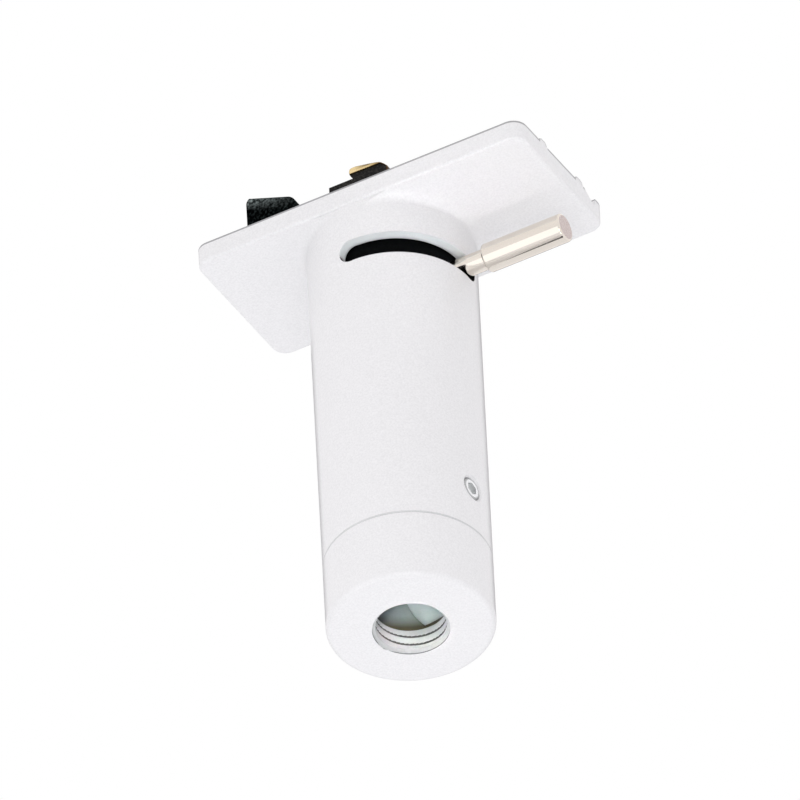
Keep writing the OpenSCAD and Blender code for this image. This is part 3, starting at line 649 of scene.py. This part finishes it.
dress(housing, *HOUSING_COATS)
for face in housing.data.polygons:
    face.material_index = HOUSING_COATS.index(housing_coat(face))

# Mesh helpers
SMOOTH_ANGLE = 40


def piece(name, points, faces, body, mats, indexes=None, smooth_angle=SMOOTH_ANGLE):
    mesh = bpy.data.meshes.new(name)
    mesh.from_pydata(points, [], faces)
    mesh.validate()
    for mat in mats:
        mesh.materials.append(mat)
    for i, face in enumerate(mesh.polygons):
        face.use_smooth = True
        if indexes:
            face.material_index = indexes[i]
    mesh.set_sharp_from_angle(angle=math.radians(smooth_angle))
    obj = bpy.data.objects.new(name, mesh)
    scene.collection.objects.link(obj)
    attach(obj, body)
    return obj


def ring_faces(rows, count, closed):
    """Faces between rows of points that each go once round; closed joins the last row to the first."""
    faces = []
    last = rows if closed else rows - 1
    for k in range(last):
        a = k * count
        b = ((k + 1) % rows) * count
        for i in range(count):
            j = (i + 1) % count
            faces.append((a + i, a + j, b + j, b + i))
    return faces


def turned(profile, count, to_world):
    """Points and faces of a closed turned solid: profile of (radius, height), first and last on the axis."""
    points = [to_world(0, 0, profile[0][1])]
    for radius, height in profile[1:-1]:
        for i in range(count):
            a = FULL_TURN * i / count
            points.append(to_world(radius * math.cos(a), radius * math.sin(a), height))
    points.append(to_world(0, 0, profile[-1][1]))
    rows = len(profile) - 2
    faces = [tuple(v + 1 for v in face) for face in ring_faces(rows, count, False)]
    tip = len(points) - 1
    last_row = 1 + (rows - 1) * count
    for i in range(count):
        j = (i + 1) % count
        faces.append((0, 1 + j, 1 + i))
        faces.append((tip, last_row + i, last_row + j))
    return points, faces


def arc(across, along, radius, start, end, steps):
    turn = [math.radians(start + (end - start) * k / steps) for k in range(steps + 1)]
    return [(across + radius * math.cos(a), along + radius * math.sin(a)) for a in turn]


# End cap with its thread. A hold is a row of points beside an edge, which keeps the next face flat.
CAP_COATS = [paint, bare, groove_shade, mouth_ring_shade, thread_coat, mouth_shade_coat]
THREAD_CORE_R = 7.15 * MM
THREAD_DEPTH = 1 * MM
THREAD_PITCH = 2 * MM
THREAD_LENGTH = 5.35 * MM
THREAD_GROOVE = 0.26
THREAD_PHASE = -0.05
THREAD_DARK_FROM = 0.05 * MM
THREAD_ROWS = 130
MOUTH_R = 7.75 * MM
MOUTH_DEPTH = MOUTH_R - THREAD_CORE_R
MOUTH_RING = 0.28 * MM
MOUTH_RING_LEAST = 0.01 * MM
MOUTH_RING_TAPER = 0.7
MOUTH_SHADE_SIDE = math.radians(122.7)
CAP_COLUMNS = 160
CAP_EDGE_STEPS = 10
CAP_EDGE_HOLD = 0.4 * MM
PARTING_HOLD = 0.6 * MM
LEDGE_HOLD = 0.3 * MM
SPIGOT_CHAMFER = 0.3 * MM
SPIGOT_BARE_ROWS = 6


def thread_radius(height, angle):
    turns = height / THREAD_PITCH - angle / FULL_TURN + THREAD_PHASE
    off_centre = abs(turns - math.floor(turns) - 0.5)
    radius = THREAD_CORE_R + THREAD_DEPTH * max(0, 1 - 2 * off_centre / THREAD_GROOVE)
    return max(radius, MOUTH_R - height)


def shade_ring_width(angle):
    """Width of the painted shade line at the hole's mouth, widest at one side and tapering to nothing."""
    share = max(0, math.cos(angle - MOUTH_SHADE_SIDE))
    return MOUTH_RING_LEAST + MOUTH_RING * share ** MOUTH_RING_TAPER


def cap_coat(row, last_row, reach, above):
    """Coat of a face of the end cap, from its row, its distance from the axis and its height."""
    if row < THREAD_ROWS:
        # The mouth chamfer takes the darker paint: painted shade
        if above < MOUTH_DEPTH:
            return mouth_shade_coat
        # Faces deep in the thread's grooves take the painted shade
        return groove_shade if reach > THREAD_CORE_R + THREAD_DARK_FROM else thread_coat
    # The last row is the painted shade line round the hole's mouth
    if row == last_row:
        return mouth_ring_shade
    return bare if row < THREAD_ROWS + SPIGOT_BARE_ROWS else paint


def end_cap():
    angles = [FULL_TURN * i / CAP_COLUMNS for i in range(CAP_COLUMNS)]
    rows = []
    for k in range(THREAD_ROWS + 1):
        height = THREAD_LENGTH * k / THREAD_ROWS
        rows.append([(thread_radius(height, angle), BOTTOM_Z + height) for angle in angles])
    ledge = BOTTOM_Z + THREAD_LENGTH
    plain = [
        (CHAMBER_R, ledge),
        (CHAMBER_R, ledge + LEDGE_HOLD),
        (CHAMBER_R, SPIGOT_TOP - SPIGOT_CHAMFER),
        (CHAMBER_R + SPIGOT_CHAMFER, SPIGOT_TOP),
        (SPIGOT_R - SPIGOT_CHAMFER, SPIGOT_TOP),
        (SPIGOT_R, SPIGOT_TOP - SPIGOT_CHAMFER),
        (SPIGOT_R, PARTING_Z),
        (TUBE_R - PARTING_CHAMFER, PARTING_Z),
        (TUBE_R, PARTING_Z - PARTING_CHAMFER),
        (TUBE_R, PARTING_Z - PARTING_HOLD),
        (TUBE_R, BOTTOM_Z + CAP_EDGE_R + CAP_EDGE_HOLD),
    ]
    plain += arc(TUBE_R - CAP_EDGE_R, BOTTOM_Z + CAP_EDGE_R, CAP_EDGE_R, 0, -90, CAP_EDGE_STEPS)
    plain += [(TUBE_R - CAP_EDGE_R - CAP_EDGE_HOLD, BOTTOM_Z), (MOUTH_R + CAP_EDGE_HOLD, BOTTOM_Z)]
    rows += [[place] * CAP_COLUMNS for place in plain]
    rows.append([(MOUTH_R + shade_ring_width(angle), BOTTOM_Z) for angle in angles])
    points = []
    for row in rows:
        for angle, (radius, height) in zip(angles, row):
            points.append((radius * math.cos(angle), radius * math.sin(angle), height))
    faces = ring_faces(len(rows), CAP_COLUMNS, True)
    indexes = []
    for i, face in enumerate(faces):
        reach = sum(math.hypot(points[v][0], points[v][1]) for v in face) / len(face)
        above = sum(points[v][2] for v in face) / len(face) - BOTTOM_Z
        coat = cap_coat(i // CAP_COLUMNS, len(rows) - 1, reach, above)
        indexes.append(CAP_COATS.index(coat))
    cap = piece("end_cap_threaded", points, faces, "body", CAP_COATS, indexes)
    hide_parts("end_cap")


end_cap()

# Pale guide sheet on the chamber's wall, standing in for a patch of light there as painted light; its near
# end cut slanting, its angles in degrees
GUIDE_REACH = 5.75 * MM
GUIDE_RISE = 1.45 * MM
GUIDE_CURL = 1.3
GUIDE_THICKNESS = 0.6 * MM
GUIDE_CUT = (105.6, 123.1)
GUIDE_FAR_END = 40.0
GUIDE_FOOT_Z = -91.5 * MM
GUIDE_FOOT_SLOPE = 0.0574 * MM
GUIDE_FOOT_SPAN = 30
GUIDE_ROWS = 8
GUIDE_COLUMNS = 32


def light_patch_guide():
    under = []
    for k in range(GUIDE_ROWS + 1):
        share = k / GUIDE_ROWS
        cut = GUIDE_CUT[0] + (GUIDE_CUT[1] - GUIDE_CUT[0]) * share
        radius = CHAMBER_R - GUIDE_REACH * share
        for i in range(GUIDE_COLUMNS + 1):
            angle = cut + (GUIDE_FAR_END - cut) * i / GUIDE_COLUMNS
            foot = GUIDE_FOOT_Z + GUIDE_FOOT_SLOPE * min(GUIDE_FOOT_SPAN, max(0, GUIDE_CUT[0] - angle))
            a = math.radians(angle)
            height = foot + GUIDE_RISE * share ** GUIDE_CURL
            under.append((radius * math.cos(a), radius * math.sin(a), height))
    points = under + [(x, y, z + GUIDE_THICKNESS) for x, y, z in under]
    columns = GUIDE_COLUMNS + 1
    back = len(under)
    faces = []
    for k in range(GUIDE_ROWS):
        for i in range(GUIDE_COLUMNS):
            a = k * columns + i
            faces.append((a, a + columns, a + columns + 1, a + 1))
            faces.append((a + back, a + back + 1, a + back + columns + 1, a + back + columns))
    rim = list(range(columns))
    rim += [k * columns + GUIDE_COLUMNS for k in range(1, GUIDE_ROWS + 1)]
    rim += [GUIDE_ROWS * columns + i for i in range(GUIDE_COLUMNS - 1, -1, -1)]
    rim += [k * columns for k in range(GUIDE_ROWS - 1, 0, -1)]
    for n, a in enumerate(rim):
        b = rim[(n + 1) % len(rim)]
        faces.append((a, b, b + back, a + back))
    piece("light_patch_guide", points, faces, "body", [pale])


light_patch_guide()

# Contacts: bent brass strips with softened edges, outline in millimetres
CONTACT_OUTLINE = [
    (-2.40, 8.02), (-2.42, 8.45), (-2.36, 9.10), (-2.14, 9.34), (-1.80, 9.45), (-0.93, 9.40),
    (0.42, 9.12), (2.13, 8.77), (3.63, 8.43), (4.40, 8.22), (4.86, 7.95), (5.60, 7.22),
    (6.20, 6.55), (6.34, 6.20), (6.34, 4.85), (6.10, 4.85), (6.10, 6.62), (4.62, 8.02),
]
CONTACT_EDGE = 0.07 * MM
CONTACT_EDGE_STEPS = 2
ROUND_PROFILE = 0.5
SAME_PLACE = 1e-9


def contact(name, node, half_turn, mat):
    shape = bmesh.new()
    first = [shape.verts.new((x * MM, strip_low[1], z * MM)) for x, z in CONTACT_OUTLINE]
    second = [shape.verts.new((x * MM, strip_high[1], z * MM)) for x, z in CONTACT_OUTLINE]
    count = len(first)
    shape.faces.new(first)
    shape.faces.new(second[::-1])
    for i in range(count):
        j = (i + 1) % count
        shape.faces.new((first[j], first[i], second[i], second[j]))
    rim = [e for e in shape.edges if abs(e.verts[0].co.y - e.verts[1].co.y) < SAME_PLACE]
    bmesh.ops.bevel(shape, geom=rim, offset=CONTACT_EDGE, segments=CONTACT_EDGE_STEPS, profile=ROUND_PROFILE,
                    affect="EDGES", clamp_overlap=True)
    bmesh.ops.recalc_face_normals(shape, faces=shape.faces)
    shape.verts.index_update()
    sign = -1 if half_turn else 1
    points = [(sign * v.co.x, sign * v.co.y, v.co.z) for v in shape.verts]
    faces = [tuple(v.index for v in face.verts) for face in shape.faces]
    shape.free()
    strip = piece(name, points, faces, "lever", [mat])
    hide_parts(node)


contact("line_contact_strip", "line_contact", False, line_brass)
contact("neutral_contact_strip", "neutral_contact", True, neutral_brass)

# Lever: handle and stem
GRIP_COATS = [nickel, turned_end]
GRIP_COLUMNS = 96
GRIP_ROUND = 0.45 * MM
GRIP_ROUND_STEPS = 6
GRIP_SIDE_HOLD = 0.3 * MM
GRIP_END_HOLD = 0.2 * MM
GRIP_START_INNER = 0.6
GRIP_END_INNER = 0.3
GRIP_END_DEPTH = 0.01 * MM
GRIP_SMOOTH_ANGLE = 50
STEM_COLUMNS = 72
STEM_CHAMFER = 0.3 * MM
STEM_HOLD = 1 * MM


def along_lever(x, y, z):
    return (z, x, LEVER_Z + y)


def lever_grip():
    grip_r = (handle_high[2] - handle_low[2]) / 2
    stem_r = (stud_high[2] - stud_low[2]) / 2
    start = handle_low[0]
    end = handle_high[0]
    flat_r = grip_r - GRIP_ROUND
    profile = [(0, start), (stem_r * GRIP_START_INNER, start), (flat_r - GRIP_END_HOLD, start)]
    profile += arc(flat_r, start + GRIP_ROUND, GRIP_ROUND, -90, 0, GRIP_ROUND_STEPS)
    profile += [(grip_r, start + GRIP_ROUND + GRIP_SIDE_HOLD), (grip_r, end - GRIP_ROUND - GRIP_SIDE_HOLD)]
    profile += arc(flat_r, end - GRIP_ROUND, GRIP_ROUND, 0, 90, GRIP_ROUND_STEPS)
    profile += [(flat_r - GRIP_END_HOLD, end), (grip_r * GRIP_END_INNER, end), (0, end)]
    points, faces = turned(profile, GRIP_COLUMNS, along_lever)
    end_face_x = end - GRIP_END_DEPTH
    coats = [turned_end if all(points[v][0] > end_face_x for v in face) else nickel for face in faces]
    indexes = [GRIP_COATS.index(coat) for coat in coats]
    grip = piece("lever_grip", points, faces, "lever", GRIP_COATS, indexes,
                 GRIP_SMOOTH_ANGLE)
    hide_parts("lever_handle")


def lever_stem():
    stem_r = (stud_high[2] - stud_low[2]) / 2
    start = stud_low[0]
    end = stud_high[0]
    profile = [
        (0, start),
        (stem_r - STEM_CHAMFER, start),
        (stem_r, start + STEM_CHAMFER),
        (stem_r, start + STEM_HOLD),
        (stem_r, end - STEM_HOLD),
        (stem_r, end - STEM_CHAMFER),
        (stem_r - STEM_CHAMFER, end),
        (0, end),
    ]
    points, faces = turned(profile, STEM_COLUMNS, along_lever)
    stem = piece("lever_stem", points, faces, "lever", [nickel])
    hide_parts("lever_stud")


lever_grip()
lever_stem()

# Camera at the photograph's viewing angle
CAMERA_RIGHT = Vector((0.86458294, 0.50083347, -0.04076986))
CAMERA_UP = Vector((0.34728617, -0.53693026, 0.76882912))
CAMERA_FORWARD = Vector((-0.36316478, 0.67887535, 0.63815328))
CAMERA_AIM = Vector((-9.898, 18.860, -25.697)) * MM
CAMERA_BACK = 0.5
CAMERA_WIDTH = 0.158965
CAMERA_NEAREST = 0.01
CAMERA_FARTHEST = 20

camera_data = bpy.data.cameras.new("camera")
camera_data.type = "ORTHO"
camera_data.ortho_scale = CAMERA_WIDTH
camera_data.clip_start = CAMERA_NEAREST
camera_data.clip_end = CAMERA_FARTHEST
camera = bpy.data.objects.new("camera", camera_data)
camera_turn = Matrix((CAMERA_RIGHT, CAMERA_UP, -CAMERA_FORWARD)).transposed().to_4x4()
camera.matrix_world = Matrix.Translation(CAMERA_AIM - CAMERA_FORWARD * CAMERA_BACK) @ camera_turn
scene.collection.objects.link(camera)
scene.camera = camera

# Flat sheets of the stage
SHEET_CORNERS = ((-1, -1), (1, -1), (1, 1), (-1, 1))


def stage_sheet(name, coat, corners, low, high, grain, roughness):
    """Flat sheet that isn't part of the object."""
    mesh = bpy.data.meshes.new(name)
    mesh.from_pydata(corners, [], [(0, 1, 2, 3)])
    mat, tree, shader = new_material(coat)
    tone = ramp(tree, noise(tree, object_coords(tree), grain), low, high)
    tree.links.new(tone, shader.inputs["Base Color"])
    shader.inputs["Roughness"].default_value = roughness
    mesh.materials.append(mat)
    sheet = bpy.data.objects.new(name, mesh)
    scene.collection.objects.link(sheet)
    return sheet


# Floor far below, since the adapter hangs from a track
FLOOR_Z = -0.9
FLOOR_HALF = 6.0
floor_corners = [(FLOOR_HALF * a, FLOOR_HALF * b, FLOOR_Z) for a, b in SHEET_CORNERS]
stage_sheet(
    "floor", "pale_floor", floor_corners,
    low=(0.925, 0.935, 0.945), high=(0.95, 0.96, 0.97), grain=3, roughness=0.8)

# Soft studio surroundings: white to the camera, gently graded for light and reflections
SKY_TINT = (1.0, 0.988, 1.0)
SKY_BASE = 0.37
SKY_TOP = 1.00
SKY_LEFT = 0.01
SKY_LEFT_HALF = 0.5
SKY_SIDES = 0.10
GLOSS_LEVEL = 1.0
FLAG_LEVEL = 0.05
FLAG_EDGE = (0.90, 0.97)


def studio():
    world = bpy.data.worlds.new("studio")
    scene.world = world
    world.use_nodes = True
    tree = world.node_tree
    tree.nodes.clear()
    out = tree.nodes.new("ShaderNodeOutputWorld")
    mix = tree.nodes.new("ShaderNodeMixShader")
    seen = tree.nodes.new("ShaderNodeBackground")
    seen.inputs["Color"].default_value = (1, 1, 1, 1)
    seen.inputs["Strength"].default_value = 1.0
    light = tree.nodes.new("ShaderNodeBackground")
    light.inputs["Color"].default_value = opaque(SKY_TINT)
    ray = tree.nodes.new("ShaderNodeLightPath").outputs
    tree.links.new(ray["Is Camera Ray"], mix.inputs["Fac"])
    tree.links.new(light.outputs["Background"], mix.inputs[FIRST_SHADER])
    tree.links.new(seen.outputs["Background"], mix.inputs[SECOND_SHADER])
    tree.links.new(mix.outputs["Shader"], out.inputs["Surface"])
    direction = tree.nodes.new("ShaderNodeTexCoord").outputs["Generated"]

    def along(vector):
        return vector_node(tree, "DOT_PRODUCT", direction, vector)

    overhead = times(tree, math_node(tree, "MAXIMUM", along((0, 0, 1)), 0.0), SKY_TOP)
    leftwards = along((-SKY_LEFT_HALF, 0, 0))
    left_side = times(tree, math_node(tree, "ADD", leftwards, SKY_LEFT_HALF), SKY_LEFT)
    both_sides = times(tree, math_node(tree, "ABSOLUTE", along(CAMERA_RIGHT)), SKY_SIDES)
    sides = math_node(tree, "ADD", left_side, both_sides)
    sky = math_node(tree, "ADD", math_node(tree, "ADD", overhead, SKY_BASE), sides)
    # Metal shows the white background too
    glossy = math_node(tree, "MAXIMUM", ray["Is Glossy Ray"], ray["Is Transmission Ray"])
    level = fade(tree, glossy, 0.0, 1.0, sky, GLOSS_LEVEL)
    # Dark flag behind the object for its outlines
    flag = fade(tree, along(CAMERA_FORWARD), *FLAG_EDGE, 1.0, FLAG_LEVEL, "SMOOTHSTEP")
    tree.links.new(times(tree, level, flag), light.inputs["Strength"])


studio()


# Lamps
def soft_lamp(name, towards, distance, size, radiance):
    """Square lamp aimed at the middle of the picture."""
    data = bpy.data.lights.new(name, "AREA")
    data.shape = "SQUARE"
    data.size = size
    data.energy = radiance * math.pi * size * size
    lamp = bpy.data.objects.new(name, data)
    lamp.location = CAMERA_AIM + Vector(towards).normalized() * distance
    lamp.rotation_euler = (CAMERA_AIM - lamp.location).to_track_quat("-Z", "Y").to_euler()
    scene.collection.objects.link(lamp)


def gridded_lamp(name, width, height, spread, energy, place):
    """Oval lamp with a narrow beam, given in degrees, which the camera doesn't see."""
    data = bpy.data.lights.new(name, "AREA")
    data.shape = "ELLIPSE"
    data.size = width
    data.size_y = height
    data.spread = math.radians(spread)
    data.energy = energy
    lamp = bpy.data.objects.new(name, data)
    lamp.matrix_world = place
    lamp.visible_camera = False
    scene.collection.objects.link(lamp)


soft_lamp("soft_left", towards=(-0.363, -0.752, -0.55), distance=0.84, size=0.70, radiance=0.40)
soft_lamp("soft_front", towards=-CAMERA_FORWARD, distance=0.80, size=0.25, radiance=3.4)

# Small gridded lamp that looks into the threaded hole
HOLE_LAMP_ASIDE = 0.7 * MM
HOLE_LAMP_DISTANCE = 0.12
hole_middle = Vector((0, 0, BOTTOM_Z))
hole_lamp_at = hole_middle + CAMERA_RIGHT * HOLE_LAMP_ASIDE - CAMERA_FORWARD * HOLE_LAMP_DISTANCE
gridded_lamp("hole_lamp", width=14 * MM, height=8.4 * MM, spread=1.5, energy=0.00022,
             place=Matrix.Translation(hole_lamp_at) @ camera_turn)

# Gridded fill lamp below the plate, beside the lever
FILL_LAMP_TOWARDS = Vector((0.30, -0.30, -0.905))
FILL_LAMP_AIM = Vector((20, -9, -7)) * MM
FILL_LAMP_DISTANCE = 0.3
fill_lamp_at = FILL_LAMP_AIM + FILL_LAMP_TOWARDS * FILL_LAMP_DISTANCE
fill_lamp_turn = (-FILL_LAMP_TOWARDS).to_track_quat("-Z", "Y").to_matrix().to_4x4()
gridded_lamp("fill_lamp", width=32 * MM, height=32 * MM, spread=8, energy=0.00056,
             place=Matrix.Translation(fill_lamp_at) @ fill_lamp_turn)

# Dark card below the lever, seen only in reflections
CARD_TOWARDS = Vector((-0.363, 0.213, -0.907))
CARD_DISTANCE = 0.5
CARD_HALF_LENGTH = 0.45
CARD_HALF_WIDTH = 0.08
card_centre = Vector((handle_low[0], 0, LEVER_Z)) + CARD_TOWARDS * CARD_DISTANCE
card_long = Vector((1, 0, 0)) - CARD_TOWARDS * CARD_TOWARDS.x
card_long.normalize()
card_wide = CARD_TOWARDS.cross(card_long)
card_corners = [card_centre + card_long * CARD_HALF_LENGTH * a + card_wide * CARD_HALF_WIDTH * b
                for a, b in SHEET_CORNERS]
card = stage_sheet(
    "dark_card", "dark_card", card_corners,
    low=(0.05, 0.05, 0.05), high=(0.08, 0.08, 0.08), grain=8, roughness=0.9)
card.visible_camera = False
card.visible_diffuse = False
card.visible_shadow = False
card.visible_transmission = False

scene.view_settings.view_transform = "Standard"
